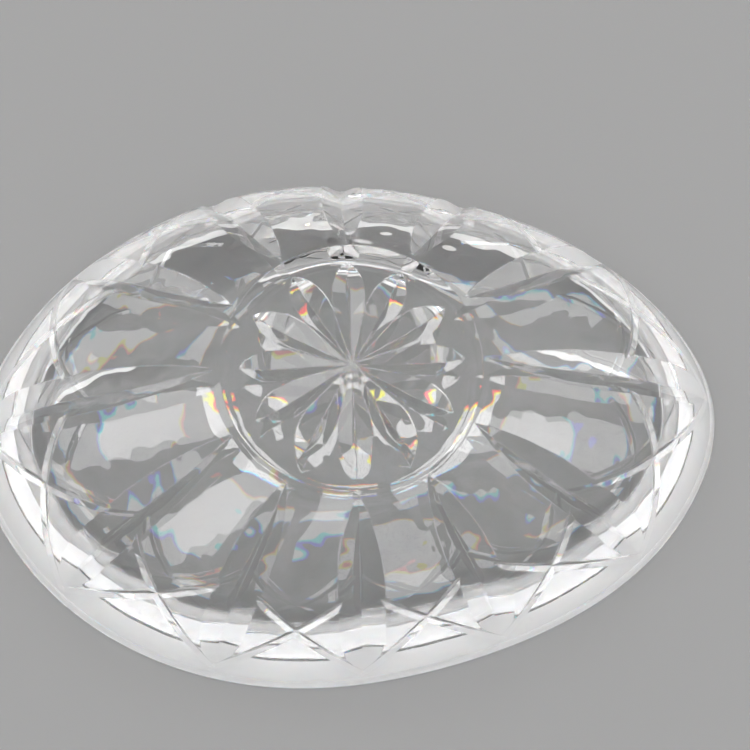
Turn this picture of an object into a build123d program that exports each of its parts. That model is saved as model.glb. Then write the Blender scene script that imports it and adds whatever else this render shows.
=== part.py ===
from build123d import *
import math
import os

# Oval cut-glass dish, one solid piece of clear glass, modelled with its rim down.
# Origin: middle of the plane that the ground rim lies in.  +X is the long axis, towards the
# slightly narrower end, and +Z goes up through the middle of the foot.  Millimetres.

# Overall
LENGTH = 129.8
WIDTH = 90.4
HEIGHT = 27.5
FOOT_RADIUS = 20.3
EGG = 0.85              # how much one end of the oval is fuller than the other
END_POINT = 1.4         # how far the two ends run out past an ellipse
END_SHARPNESS = 36      # how narrow those points are

# Outside of the wall, from the foot's edge (share 0) to the rim (share 1)
WALL_SLOPE = 0.60       # share of the height that the straight slope takes
WALL_CURL = 6.5         # how late the wall turns down to the rim

# Plain band at the rim
RIM_THICKNESS = 9.0     # width of the ground face that the dish stands on
BAND_SHARE = 0.97       # share of the wall where the band starts
BAND_STEP = 0.3         # how far the band stands proud of the wall
EDGE_ROUND = 0.5
MOUTH_BEVEL = 0.5

# Hollow, from its flat floor (share 0) to its mouth (share 1)
FLOOR_THICKNESS = 6.5
FLOOR_RADIUS = 18.0
HOLLOW_SLOPE = 0.60     # share of the depth that the straight slope takes
HOLLOW_CURL = 16.0      # how late the inside turns down to the mouth
HOLLOW_CORNER = 0.12    # softness of the corner round the floor

# Twelve mitred flutes down the wall
FLUTES = 12
FLUTE_DEPTH = 2.15
FLUTE_HALF_ANGLE = 60.0
TIP_GAP = 0.03          # how much a flute is held off the foot's edge at its point
FLUTE_END = 0.965       # share of the wall where a flute runs out
FLUTE_RISE = 0.55       # share of the flute over which it reaches full depth
FLUTE_FALL = 0.80       # share of the flute where it starts to run out

# Crossed mitre lines between the flutes
CROSS_DEPTH = 0.45
CROSS_HALF_ANGLE = 60.0
CROSS_LOW = 0.95        # share of the wall where a line leaves one flute
CROSS_HIGH = 0.52       # share of the wall where it reaches the next flute

# Star of leaf-shaped points cut in the foot
STAR_REACH = 17.2
STAR_DEPTH = 1.0        # at the middle of the foot
STAR_SWELL = 2.3        # how much deeper the leaves get on the way out
STAR_HALF_ANGLE = 58.0

CUTTER_HEIGHT = 4.0
SECTION_POINTS = 36
STEP_ANGLE = 2 * math.pi / FLUTES


def rim_radius(angle):
    """Distance from the foot's axis to the outside of the rim."""
    half_length = LENGTH / 2 - END_POINT
    half_width = WIDTH / 2
    ellipse = half_length * half_width / math.hypot(
        half_width * math.cos(angle), half_length * math.sin(angle)
    )
    egg = EGG * (math.cos(angle) - math.cos(3 * angle))
    return ellipse - egg + END_POINT * math.cos(angle) ** END_SHARPNESS


def wall_height(share):
    """Height of the outside of the wall at a share of the way out to the rim."""
    return HEIGHT * (1 - WALL_SLOPE * share - (1 - WALL_SLOPE) * share**WALL_CURL)


def wall_radius(angle, share):
    """Distance from the foot's axis to the outside of the wall, inside the band."""
    return FOOT_RADIUS + (rim_radius(angle) - BAND_STEP - FOOT_RADIUS) * share


def wall_point(angle, share):
    """Point on the outside of the wall."""
    radius = wall_radius(angle, share)
    return Vector(radius * math.cos(angle), radius * math.sin(angle), wall_height(share))


def wall_normal(angle, share):
    """Outward direction of the wall, from two short steps along it."""
    step = 1e-4
    around = wall_point(angle + step, share) - wall_point(angle - step, share)
    outward = wall_point(angle, share + step) - wall_point(angle, max(share - step, 0.0))
    return outward.cross(around).normalized()


def oval_face(radius_at, height):
    """Flat oval whose radius is given by a function of the angle."""
    points = []
    for index in range(SECTION_POINTS):
        angle = 2 * math.pi * index / SECTION_POINTS
        radius = radius_at(angle)
        points.append((radius * math.cos(angle), radius * math.sin(angle), height))
    return make_face(Spline(points, periodic=True))


def outer_body():
    """Solid inside the outside of the wall."""
    shares = (1.0, 0.95, 0.88, 0.78, 0.62, 0.42, 0.2, 0.0)
    sections = []
    for share in shares:
        sections.append(oval_face(lambda angle: wall_radius(angle, share), wall_height(share)))
    return loft(sections)


def rim_band():
    """Plain band round the rim, standing a little proud of the wall."""
    rim = oval_face(rim_radius, 0)
    top = oval_face(
        lambda angle: wall_radius(angle, BAND_SHARE) + BAND_STEP, wall_height(BAND_SHARE)
    )
    return loft([rim, top], ruled=True)


def hollow_radius(angle, share):
    """Distance from the axis to the inside of the bowl, from its flat floor to the mouth."""
    return FLOOR_RADIUS + (rim_radius(angle) - RIM_THICKNESS - FLOOR_RADIUS) * share


def hollow_height(share):
    """Height of the inside of the bowl, leaving the flat floor in a soft corner."""
    depth = HEIGHT - FLOOR_THICKNESS
    corner = HOLLOW_CORNER
    full = math.hypot(1.0, corner) - corner
    eased = (math.hypot(share, corner) - corner) / full
    return depth * (1 - HOLLOW_SLOPE * eased - (1 - HOLLOW_SLOPE) * share**HOLLOW_CURL)


def hollow():
    """Smooth bowl of the inside, reaching a little below the rim plane."""
    sections = []
    for share in (1.0, 0.985, 0.96, 0.92, 0.85, 0.7, 0.5, 0.32, 0.18, 0.08, 0.0):
        sections.append(oval_face(lambda angle: hollow_radius(angle, share), hollow_height(share)))
    bowl = loft(sections)
    mouth = extrude(oval_face(lambda angle: hollow_radius(angle, 1.0), 0), -1)
    low = oval_face(lambda angle: hollow_radius(angle, 1.0) + 2 * MOUTH_BEVEL, -MOUTH_BEVEL)
    high = oval_face(lambda angle: hollow_radius(angle, 1.0), MOUTH_BEVEL)
    return bowl + mouth + loft([low, high], ruled=True)


def mitre(stations, half_angle):
    """V-shaped cutter through stations of (keel point, direction out of the glass)."""
    half_width = CUTTER_HEIGHT * math.tan(math.radians(half_angle))
    sections = []
    for index, (keel, out) in enumerate(stations):
        before = stations[max(index - 1, 0)][0]
        after = stations[min(index + 1, len(stations) - 1)][0]
        side = (after - before).cross(out).normalized()
        top = keel + out * CUTTER_HEIGHT
        sections.append(
            make_face(Polyline(keel, top + side * half_width, top - side * half_width, close=True))
        )
    return loft(sections)


def flute(angle):
    """Cutter of one flute: a point at the foot's edge, full depth, a point by the rim."""
    stations = []
    for part in (-0.06, 0.0, 0.07, 0.16, 0.28, 0.42, FLUTE_RISE, FLUTE_FALL, 0.87, 0.94, 1.0, 1.03):
        if part < FLUTE_RISE:
            depth = FLUTE_DEPTH * (1 - (1 - part / FLUTE_RISE) ** 2)
        elif part > FLUTE_FALL:
            depth = FLUTE_DEPTH * (1 - ((part - FLUTE_FALL) / (1 - FLUTE_FALL)) ** 2)
        else:
            depth = FLUTE_DEPTH
        share = part * FLUTE_END
        out = wall_normal(angle, max(share, 0.0))
        place = wall_point(angle, max(share, 0.0))
        if share < 0:
            slope = wall_point(angle, 0.01) - wall_point(angle, 0.0)
            place = place + slope * (share / 0.01)
        stations.append((place - out * (depth - TIP_GAP), out))
    return mitre(stations, FLUTE_HALF_ANGLE)


def cross_line(angle, turn):
    """Cutter of one mitre line, from the low end of a flute to the side of the next."""
    stations = []
    for part in (0.0, 0.25, 0.5, 0.75, 1.0):
        share = CROSS_LOW + (CROSS_HIGH - CROSS_LOW) * part
        here = angle + turn * STEP_ANGLE * part
        out = wall_normal(here, share)
        stations.append((wall_point(here, share) - out * CROSS_DEPTH, out))
    return mitre(stations, CROSS_HALF_ANGLE)


def star_cut(angle):
    """Cutter of two opposite leaves of the star, through the middle of the foot."""
    across = Vector(math.cos(angle), math.sin(angle), 0)
    out = Vector(0, 0, 1)
    stations = []
    for part in (-1.05, -0.98, -0.88, -0.75, -0.6, -0.4, -0.2, 0, 0.2, 0.4, 0.6, 0.75, 0.88, 0.98, 1.05):
        depth = STAR_DEPTH * (1 + STAR_SWELL * part**2) * (1 - part**4)
        stations.append((across * (STAR_REACH * part) + out * (HEIGHT - depth), out))
    return mitre(stations, STAR_HALF_ANGLE)


def dish():
    """The glass dish."""
    glass = outer_body() + rim_band()
    rim_edges = glass.edges().filter_by(lambda edge: abs(edge.center().Z) < 0.01)
    glass = fillet(rim_edges, EDGE_ROUND) - hollow()
    cutters = []
    for index in range(FLUTES):
        angle = index * STEP_ANGLE
        cutters.append(flute(angle))
        for turn in (-1, 1):
            cutters.append(cross_line(angle, turn))
    for index in range(FLUTES // 2):
        cutters.append(star_cut(index * STEP_ANGLE))
    for cutter in cutters:
        glass = glass - cutter
    return glass


os.makedirs("parts", exist_ok=True)
glass_dish = dish()
export_step(glass_dish, "parts/glass_dish.step")
print("volume", round(glass_dish.volume, 1), "box", glass_dish.bounding_box())
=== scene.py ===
"""Looks of the oval cut-glass dish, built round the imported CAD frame.

Metres, +Z up, the dish standing on its rim.  The glass is one closed mesh: the smooth blank is
made from rings, and the flutes, mitre lines and star are cut out of it with V-edged cutters.
A share is how far out along the wall or the hollow a point is, from 0 at the foot or the flat
floor to 1 at the rim.
"""

import math

import bmesh
import bpy
import numpy as np
from mathutils import Matrix, Vector


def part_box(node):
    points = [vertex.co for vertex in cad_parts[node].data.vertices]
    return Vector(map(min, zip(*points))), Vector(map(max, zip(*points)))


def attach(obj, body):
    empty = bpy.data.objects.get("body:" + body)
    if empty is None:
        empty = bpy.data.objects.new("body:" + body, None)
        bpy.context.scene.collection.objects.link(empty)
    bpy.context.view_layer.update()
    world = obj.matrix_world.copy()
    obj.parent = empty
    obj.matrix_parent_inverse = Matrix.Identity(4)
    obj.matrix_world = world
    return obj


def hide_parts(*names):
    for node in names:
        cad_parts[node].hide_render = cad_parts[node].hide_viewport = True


MM = 0.001

# Wall and hollow, the same shape as the CAD part
LENGTH = 129.8 * MM
WIDTH = 90.4 * MM
HEIGHT = 27.5 * MM
FOOT_RADIUS = 20.3 * MM
EGG = 0.85 * MM             # how much one end of the oval is fuller than the other
END_POINT = 1.4 * MM        # how far the two ends run out past an ellipse
END_SHARPNESS = 36
WALL_SLOPE = 0.60           # share of the height that the straight slope takes
WALL_CURL = 6.5             # how late the wall turns down to the rim
RIM_THICKNESS = 9.0 * MM    # width of the ground face that the dish stands on
BAND_SHARE = 0.97           # where the plain band at the rim starts
BAND_STEP = 0.3 * MM
FLOOR_THICKNESS = 6.5 * MM
FLOOR_RADIUS = 18.0 * MM
HOLLOW_SLOPE = 0.60
HOLLOW_CURL = 16.0
HOLLOW_CORNER = 0.12

# Rounding of its edges
FOOT_ROUND = 0.4 * MM
FOOT_ROUND_DROP = 0.4       # drop of that rounding, as part of its width
BAND_ROUND = 0.8            # as part of the band's step
RIM_ROUND = 0.5 * MM

# Flutes down the wall
FLUTES = 12
FLUTE_DEPTH = 2.15 * MM
FLUTE_HALF_ANGLE = 60.0
TIP_GAP = 0.03 * MM         # how much a flute is held off the foot's edge at its point
FLUTE_END = 0.965           # share of the wall where a flute runs out
FLUTE_RISE = 0.55           # part of the flute over which it reaches full depth
FLUTE_FALL = 0.80           # part of the flute where it starts to run out
FLUTE_PARTS = (-0.06, 1.03) # where a flute's cutter starts and ends
STEP_ANGLE = 2 * math.pi / FLUTES

# Crossed mitre lines between the flutes
CROSS_DEPTH = 0.45 * MM
CROSS_HALF_ANGLE = 60.0
CROSS_LOW = 0.95
CROSS_HIGH = 0.52

# Star in the foot
STAR_REACH = 17.2 * MM
STAR_DEPTH = 1.0 * MM
STAR_SWELL = 2.3            # how much deeper the leaves get on the way out
STAR_HALF_ANGLE = 58.0
STAR_OVERRUN = 1.05         # how far its cutters run past the tips

# Fineness of the mesh
COLUMNS = 384
WALL_ROWS = 72
HOLLOW_ROWS = 56
FOOT_ROWS = 10
FIRST_ROW = 0.02            # how far out the wall's first row is
ROW_SPREAD = 0.8            # the lower, the further out the wall's rows are
HOLLOW_START = 0.988        # share of the hollow's first row, above its rounded mouth
BAND_ROWS = 5
RIM_ROUND_ROWS = 8
FLUTE_STEPS = 64
CROSS_STEPS = 32
STAR_STEPS = 80
CREASE_ANGLE = math.radians(9)

# Glass, and the ground face of the rim
GLASS_IOR = 1.54
EDGE_SOFTNESS = 0.3 * MM
RIPPLE_SCALE = 160.0
RIPPLE_HEIGHT = 0.16 * MM
GROUND_ROUGHNESS = 0.55
GROUND_TRANSMISSION = 0.4
GROUND_TINT = 0.9
GROUND_BELOW = 0.02 * MM    # a face with its middle under this height is ground

# Floor
FLOOR_HALF = 1.5
FLOOR_GAP = 0.0002
FLOOR_GREY = 0.125
FLOOR_ROUGHNESS = 0.8

# Dome of light over the room.  Heights on the sky are 0 at the horizon and 1 overhead.
ROOM_LIGHT = 0.35
DOME_LIGHT = 0.6
DOME_EDGE = (0.22, 0.42)    # heights between which the dome brightens
UNEVEN_SCALE = 5.0
UNEVENNESS = 3.5

# Rings of windows: how high, how tall, how bright, and how far turned
WINDOWS = 8                 # in each ring
WINDOW_SHARE = 0.5          # how much of a ring its windows take
WINDOW_FRINGE = 0.008       # how far apart the colours of a window are
WINDOW_RINGS = (
    (0.385, 0.15, 3.0, 0.2),
    (0.68, 0.16, 3.6, 0.7),
)

# Lamps overhead: middle and size as slopes east and north, and how bright
LAMP_FRINGE = 0.02
LAMPS = (
    ((0.42, 0.02), (0.36, 0.50), 15.0),
    ((-0.42, 0.05), (0.36, 0.50), 13.0),
    ((0.0, 0.0), (0.12, 0.16), 9.0),
)

# Camera: where it is, the way out of its back, and its upward side
SENSOR = 36.0
LENS = 52.8
CLIP_START = 0.01
CAMERA_PLACE = (-0.00422, -0.06093, 0.18371)
CAMERA_BACK = (-0.0457, -0.352, 0.9349)
CAMERA_UP = (0.0403, 0.9345, 0.3538)


def rim_radius(angle):
    """Distance from the foot's axis to the outside of the rim."""
    half_length = LENGTH / 2 - END_POINT
    half_width = WIDTH / 2
    ellipse = half_length * half_width / np.hypot(
        half_width * np.cos(angle), half_length * np.sin(angle)
    )
    egg = EGG * (np.cos(angle) - np.cos(3 * angle))
    return ellipse - egg + END_POINT * np.cos(angle) ** END_SHARPNESS


def wall_radius(angle, share):
    """Distance from the foot's axis to the outside of the wall."""
    return FOOT_RADIUS + (rim_radius(angle) - BAND_STEP - FOOT_RADIUS) * share


def wall_height(share):
    """Height of the outside of the wall."""
    return HEIGHT * (1 - WALL_SLOPE * share - (1 - WALL_SLOPE) * share**WALL_CURL)


def wall_point(angle, share):
    """Point on the outside of the wall."""
    radius = wall_radius(angle, share)
    return Vector((radius * math.cos(angle), radius * math.sin(angle), wall_height(share)))


def wall_normal(angle, share):
    """Outward direction of the wall."""
    step = 1e-4
    around = wall_point(angle + step, share) - wall_point(angle - step, share)
    outward = wall_point(angle, share + step) - wall_point(angle, max(share - step, 0.0))
    return outward.cross(around).normalized()


def hollow_radius(angle, share):
    """Distance from the axis to the inside of the bowl, from its flat floor out to the rim."""
    return FLOOR_RADIUS + (rim_radius(angle) - RIM_THICKNESS - FLOOR_RADIUS) * share


def hollow_height(share):
    """Height of the inside of the bowl, leaving the flat floor in a soft corner."""
    depth = HEIGHT - FLOOR_THICKNESS
    corner = HOLLOW_CORNER
    full = math.hypot(1.0, corner) - corner
    eased = (math.hypot(share, corner) - corner) / full
    return depth * (1 - HOLLOW_SLOPE * eased - (1 - HOLLOW_SLOPE) * share**HOLLOW_CURL)


def blank_rings(angles):
    """Rings of the blank from the middle of the foot, over the rim, to the middle of the bowl."""
    rings = []

    def ring(radius, height):
        rings.append((np.broadcast_to(radius, angles.shape), height))

    for row in range(1, FOOT_ROWS + 1):
        ring((FOOT_RADIUS - FOOT_ROUND) * row / FOOT_ROWS, HEIGHT)
    for turn in (0.35, 0.7):
        swing = turn * math.pi / 2
        ring(
            FOOT_RADIUS - FOOT_ROUND * (1 - math.sin(swing)),
            HEIGHT - FOOT_ROUND * FOOT_ROUND_DROP * (1 - math.cos(swing)),
        )
    for row in range(1, WALL_ROWS + 1):
        part = FIRST_ROW + (1 - FIRST_ROW) * row / WALL_ROWS
        share = BAND_SHARE * math.sin(part * math.pi / 2) ** ROW_SPREAD
        ring(wall_radius(angles, share), wall_height(share))
    band_top = wall_height(BAND_SHARE)
    band_radius = wall_radius(angles, BAND_SHARE) + BAND_STEP
    rim = rim_radius(angles)
    lean = (rim - band_radius) / band_top
    for turn in (0.0, 0.5, 1.0):
        swing = turn * math.pi / 2
        ring(
            band_radius - BAND_STEP * BAND_ROUND * (1 - math.sin(swing)),
            band_top - BAND_STEP * BAND_ROUND * (1 - math.cos(swing)),
        )
    for row in range(1, BAND_ROWS + 1):
        height = band_top + (RIM_ROUND - band_top) * row / BAND_ROWS
        ring(rim - lean * height, height)
    for turn in range(1, RIM_ROUND_ROWS + 1):
        swing = turn / RIM_ROUND_ROWS * math.pi / 2
        ring(
            rim - lean * RIM_ROUND - RIM_ROUND * (1 - math.cos(swing)),
            RIM_ROUND * (1 - math.sin(swing)),
        )
    inner = hollow_radius(angles, 1.0)
    start = rim - lean * RIM_ROUND - RIM_ROUND
    for part in (0.33, 0.67, 1.0):
        ring(start + (inner + RIM_ROUND - start) * part, 0.0)
    for turn in range(1, RIM_ROUND_ROWS):
        swing = turn / RIM_ROUND_ROWS * math.pi / 2
        ring(
            inner + RIM_ROUND * (1 - math.sin(swing)),
            RIM_ROUND * (1 - math.cos(swing)),
        )
    for row in range(HOLLOW_ROWS + 1):
        share = HOLLOW_START * math.cos(0.5 * math.pi * row / HOLLOW_ROWS)
        ring(hollow_radius(angles, share), hollow_height(share))
    for row in range(1, FOOT_ROWS):
        ring(FLOOR_RADIUS * (1 - row / FOOT_ROWS), hollow_height(0.0))
    return rings


def new_object(name, vertices, faces):
    """Object from plain lists of vertices and faces."""
    mesh = bpy.data.meshes.new(name)
    mesh.from_pydata(vertices, [], faces)
    mesh.validate()
    obj = bpy.data.objects.new(name, mesh)
    bpy.context.scene.collection.objects.link(obj)
    return obj


def make_blank():
    """Smooth closed dish without its cuts."""
    angles = np.arange(COLUMNS) * 2 * math.pi / COLUMNS
    rings = blank_rings(angles)
    vertices = [(0.0, 0.0, HEIGHT)]
    for radius, height in rings:
        for angle, reach in zip(angles, radius):
            vertices.append((reach * math.cos(angle), reach * math.sin(angle), height))
    vertices.append((0.0, 0.0, hollow_height(0.0)))
    last = len(vertices) - 1
    faces = []
    for column in range(COLUMNS):
        after = (column + 1) % COLUMNS
        faces.append((0, 1 + column, 1 + after))
        for row in range(len(rings) - 1):
            here = 1 + row * COLUMNS
            below = here + COLUMNS
            faces.append((here + column, below + column, below + after, here + after))
        here = 1 + (len(rings) - 1) * COLUMNS
        faces.append((here + column, last, here + after))
    return new_object("dish_glass", vertices, faces)


def mitre(name, stations, half_angle, height):
    """V-shaped cutter through stations of (keel point, direction out of the glass)."""
    half_width = height * math.tan(math.radians(half_angle))
    vertices = []
    for index, (keel, out) in enumerate(stations):
        before = stations[max(index - 1, 0)][0]
        after = stations[min(index + 1, len(stations) - 1)][0]
        side = (after - before).cross(out).normalized()
        top = keel + out * height
        vertices += [keel, top + side * half_width, top - side * half_width]
    faces = [(0, 1, 2)]
    for index in range(len(stations) - 1):
        a = 3 * index
        b = a + 3
        faces.append((a, b, b + 1, a + 1))
        faces.append((a + 1, b + 1, b + 2, a + 2))
        faces.append((a + 2, b + 2, b, a))
    a = 3 * (len(stations) - 1)
    faces.append((a, a + 2, a + 1))
    return new_object(name, vertices, faces)


def flute(angle):
    """Cutter of one flute: a point at the foot's edge, full depth, a point by the rim."""
    stations = []
    for index in range(FLUTE_STEPS + 1):
        part = FLUTE_PARTS[0] + (FLUTE_PARTS[1] - FLUTE_PARTS[0]) * index / FLUTE_STEPS
        if part < FLUTE_RISE:
            depth = FLUTE_DEPTH * (1 - (1 - part / FLUTE_RISE) ** 2)
        elif part > FLUTE_FALL:
            depth = FLUTE_DEPTH * (1 - ((part - FLUTE_FALL) / (1 - FLUTE_FALL)) ** 2)
        else:
            depth = FLUTE_DEPTH
        share = part * FLUTE_END
        out = wall_normal(angle, max(share, 0.0))
        place = wall_point(angle, max(share, 0.0))
        if share < 0:
            slope = wall_point(angle, 0.01) - wall_point(angle, 0.0)
            place = place + slope * (share / 0.01)
        stations.append((place - out * (depth - TIP_GAP), out))
    return mitre("flute", stations, FLUTE_HALF_ANGLE, FLUTE_DEPTH * 1.4)


def cross_line(angle, turn):
    """Cutter of one mitre line, from the low end of a flute to the side of the next."""
    stations = []
    for index in range(CROSS_STEPS + 1):
        part = index / CROSS_STEPS
        share = CROSS_LOW + (CROSS_HIGH - CROSS_LOW) * part
        here = angle + turn * STEP_ANGLE * part
        out = wall_normal(here, share)
        stations.append((wall_point(here, share) - out * CROSS_DEPTH, out))
    return mitre("cross_line", stations, CROSS_HALF_ANGLE, CROSS_DEPTH * 2)


def star_cut(angle):
    """Cutter of two opposite points of the star, leaf-shaped and deepest towards its tips."""
    across = Vector((math.cos(angle), math.sin(angle), 0.0))
    out = Vector((0.0, 0.0, 1.0))
    stations = []
    for index in range(STAR_STEPS + 1):
        part = STAR_OVERRUN * (2 * index / STAR_STEPS - 1)
        depth = STAR_DEPTH * (1 + STAR_SWELL * part**2) * (1 - part**4)
        stations.append((across * (STAR_REACH * part) + out * (HEIGHT - depth), out))
    return mitre("star_cut", stations, STAR_HALF_ANGLE, STAR_DEPTH * 2.5)


def outward(obj):
    """Turn a closed mesh's faces outward."""
    work = bmesh.new()
    work.from_mesh(obj.data)
    bmesh.ops.recalc_face_normals(work, faces=work.faces)
    work.to_mesh(obj.data)
    work.free()


def fit_to_cad(glass):
    """Take up the small difference in length and width that the rounded rim leaves."""
    low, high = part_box("glass_dish")
    place = np.empty(3 * len(glass.data.vertices))
    glass.data.vertices.foreach_get("co", place)
    place = place.reshape(-1, 3)
    middle = (place.max(axis=0) + place.min(axis=0)) / 2
    size = np.ptp(place, axis=0)
    for axis in (0, 1):
        scale = (high[axis] - low[axis]) / size[axis]
        place[:, axis] = (place[:, axis] - middle[axis]) * scale + (high[axis] + low[axis]) / 2
    glass.data.vertices.foreach_set("co", place.ravel())
    glass.data.update()


def cut(glass, cutters):
    """Take the cutters out of the glass."""
    for cutter in cutters:
        outward(cutter)
        modifier = glass.modifiers.new("cut", "BOOLEAN")
        modifier.operation = "DIFFERENCE"
        modifier.solver = "MANIFOLD"
        modifier.object = cutter
    graph = bpy.context.evaluated_depsgraph_get()
    mesh = bpy.data.meshes.new_from_object(glass.evaluated_get(graph))
    glass.modifiers.clear()
    glass.data = mesh
    mesh.materials.clear()
    for cutter in cutters:
        bpy.data.objects.remove(cutter)


def glass_material(name, roughness, transmission, tint):
    """Colourless glass with softened edges and a faint ripple."""
    material = bpy.data.materials.new(name)
    material.use_nodes = True
    nodes = material.node_tree.nodes
    links = material.node_tree.links
    nodes.clear()
    output = nodes.new("ShaderNodeOutputMaterial")
    mix = nodes.new("ShaderNodeMixShader")
    path = nodes.new("ShaderNodeLightPath")
    clear = nodes.new("ShaderNodeBsdfTransparent")
    clear.inputs["Color"].default_value = (0.0, 0.0, 0.0, 1)
    glass = nodes.new("ShaderNodeBsdfPrincipled")
    glass.inputs["Base Color"].default_value = (tint, tint, tint, 1)
    glass.inputs["Transmission Weight"].default_value = transmission
    glass.inputs["Roughness"].default_value = roughness
    glass.inputs["IOR"].default_value = GLASS_IOR
    bevel = nodes.new("ShaderNodeBevel")
    bevel.samples = 4
    bevel.inputs["Radius"].default_value = EDGE_SOFTNESS
    place = nodes.new("ShaderNodeTexCoord")
    ripple = nodes.new("ShaderNodeTexNoise")
    ripple.inputs["Scale"].default_value = RIPPLE_SCALE
    ripple.inputs["Detail"].default_value = 1.0
    wave = nodes.new("ShaderNodeBump")
    wave.inputs["Strength"].default_value = 1.0
    wave.inputs["Distance"].default_value = RIPPLE_HEIGHT
    links.new(place.outputs["Object"], ripple.inputs["Vector"])
    links.new(ripple.outputs["Fac"], wave.inputs["Height"])
    links.new(bevel.outputs["Normal"], wave.inputs["Normal"])
    links.new(wave.outputs["Normal"], glass.inputs["Normal"])
    links.new(path.outputs["Is Shadow Ray"], mix.inputs["Fac"])
    links.new(glass.outputs["BSDF"], mix.inputs[1])
    links.new(clear.outputs["BSDF"], mix.inputs[2])
    links.new(mix.outputs["Shader"], output.inputs["Surface"])
    return material


def floor_material():
    """Plain pale matt floor."""
    material = bpy.data.materials.new("floor")
    material.use_nodes = True
    shader = material.node_tree.nodes["Principled BSDF"]
    shader.inputs["Base Color"].default_value = (FLOOR_GREY, FLOOR_GREY, FLOOR_GREY, 1)
    shader.inputs["Roughness"].default_value = FLOOR_ROUGHNESS
    return material


def room_light():
    """Light of the room: a soft uneven dome, two rings of windows and three lamps overhead.

    Each colour's lamps and windows are moved a little, so that highlights in the glass end in
    a prism's fringes.
    """
    world = bpy.data.worlds.new("room")
    bpy.context.scene.world = world
    world.use_nodes = True
    nodes = world.node_tree.nodes
    links = world.node_tree.links
    place = nodes.new("ShaderNodeTexCoord")
    split = nodes.new("ShaderNodeSeparateXYZ")
    links.new(place.outputs["Generated"], split.inputs[0])
    east, north, up = split.outputs

    def math_node(operation, *values):
        node = nodes.new("ShaderNodeMath")
        node.operation = operation
        for socket, value in zip(node.inputs, values):
            if isinstance(value, (int, float)):
                socket.default_value = value
            else:
                links.new(value, socket)
        return node.outputs[0]

    azimuth = math_node("ARCTAN2", north, east)
    above = math_node("GREATER_THAN", up, 0.0)
    across = math_node("DIVIDE", east, up)
    along = math_node("DIVIDE", north, up)
    lift = nodes.new("ShaderNodeMapRange")
    lift.interpolation_type = "SMOOTHSTEP"
    lift.inputs["From Min"].default_value = DOME_EDGE[0]
    lift.inputs["From Max"].default_value = DOME_EDGE[1]
    lift.inputs["To Min"].default_value = 0.0
    lift.inputs["To Max"].default_value = DOME_LIGHT
    links.new(up, lift.inputs["Value"])
    cloud = nodes.new("ShaderNodeTexNoise")
    cloud.inputs["Scale"].default_value = UNEVEN_SCALE
    cloud.inputs["Detail"].default_value = 2.0
    links.new(place.outputs["Generated"], cloud.inputs["Vector"])
    uneven = math_node("MULTIPLY_ADD", cloud.outputs["Fac"], UNEVENNESS, 1 - UNEVENNESS / 2)
    uneven = math_node("MAXIMUM", uneven, 0.0)
    dome = math_node("MULTIPLY_ADD", lift.outputs["Result"], uneven, ROOM_LIGHT)
    colour = nodes.new("ShaderNodeCombineColor")
    for channel, shift in enumerate((-1, 0, 1)):
        height = math_node("ADD", up, shift * WINDOW_FRINGE)
        level = dome
        for middle, tall, light, turn in WINDOW_RINGS:
            pane = math_node("MULTIPLY_ADD", azimuth, WINDOWS / (2 * math.pi), turn)
            pane = math_node("COMPARE", math_node("FRACT", pane), 0.5, WINDOW_SHARE / 2)
            window = math_node("MULTIPLY", math_node("COMPARE", height, middle, tall / 2), pane)
            level = math_node("MULTIPLY_ADD", window, light, level)
        for middle, size, light in LAMPS:
            beside = math_node("COMPARE", across, middle[0], size[0] / 2)
            moved = math_node("ADD", along, shift * LAMP_FRINGE)
            before = math_node("COMPARE", moved, middle[1], size[1] / 2)
            lamp = math_node("MULTIPLY", math_node("MULTIPLY", beside, before), above)
            level = math_node("MULTIPLY_ADD", lamp, light, level)
        links.new(level, colour.inputs[channel])
    links.new(colour.outputs["Color"], nodes["Background"].inputs["Color"])


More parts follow.
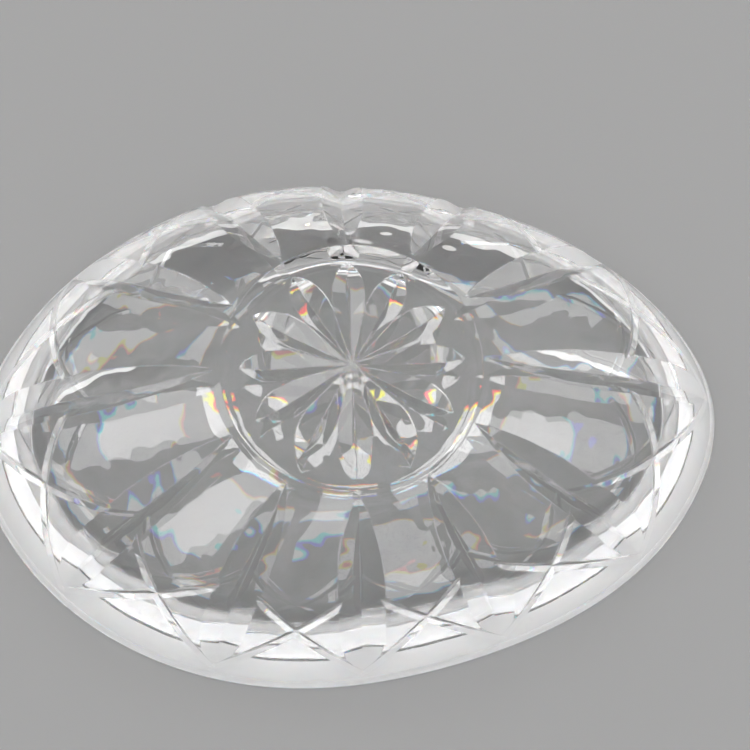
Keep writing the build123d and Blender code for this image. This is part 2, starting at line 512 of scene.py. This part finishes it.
def studio():
    """Floor and the light of the room."""
    corners = []
    for east, north in ((-1, -1), (1, -1), (1, 1), (-1, 1)):
        corners.append((east * FLOOR_HALF, north * FLOOR_HALF, 0))
    floor = new_object("floor", corners, [(0, 1, 2, 3)])
    floor.location.z = -FLOOR_GAP
    floor.data.materials.append(floor_material())
    room_light()


def camera():
    """Camera above the dish, tipped towards its near side."""
    data = bpy.data.cameras.new("camera")
    data.sensor_width = SENSOR
    data.lens = LENS
    data.clip_start = CLIP_START
    eye = bpy.data.objects.new("camera", data)
    bpy.context.scene.collection.objects.link(eye)
    back = Vector(CAMERA_BACK).normalized()
    right = Vector(CAMERA_UP).cross(back).normalized()
    up = back.cross(right).normalized()
    turn = Matrix((right, up, back)).transposed()
    eye.matrix_world = Matrix.Translation(CAMERA_PLACE) @ turn.to_4x4()
    bpy.context.scene.camera = eye


bpy.context.scene.view_settings.view_transform = "Standard"
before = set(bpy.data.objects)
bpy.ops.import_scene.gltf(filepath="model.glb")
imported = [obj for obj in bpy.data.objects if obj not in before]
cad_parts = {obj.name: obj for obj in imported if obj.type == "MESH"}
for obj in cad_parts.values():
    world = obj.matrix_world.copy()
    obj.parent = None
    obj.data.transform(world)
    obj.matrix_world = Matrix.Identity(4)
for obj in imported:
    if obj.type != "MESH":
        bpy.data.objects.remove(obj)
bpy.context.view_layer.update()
glass = make_blank()
outward(glass)
cutters = []
for index in range(FLUTES):
    cutters.append(flute(index * STEP_ANGLE))
for index in range(FLUTES):
    for turn in (-1, 1):
        cutters.append(cross_line(index * STEP_ANGLE, turn))
for index in range(FLUTES // 2):
    cutters.append(star_cut(index * STEP_ANGLE))
cut(glass, cutters)
fit_to_cad(glass)
glass.data.shade_smooth()
glass.data.set_sharp_from_angle(angle=CREASE_ANGLE)
glass.data.materials.append(glass_material("clear_glass", 0.0, 1.0, 1.0))
glass.data.materials.append(
    glass_material("ground_rim", GROUND_ROUGHNESS, GROUND_TRANSMISSION, GROUND_TINT)
)
for face in glass.data.polygons:
    if face.center.z < GROUND_BELOW:
        face.material_index = 1
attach(glass, "root")
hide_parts("glass_dish")
studio()
camera()
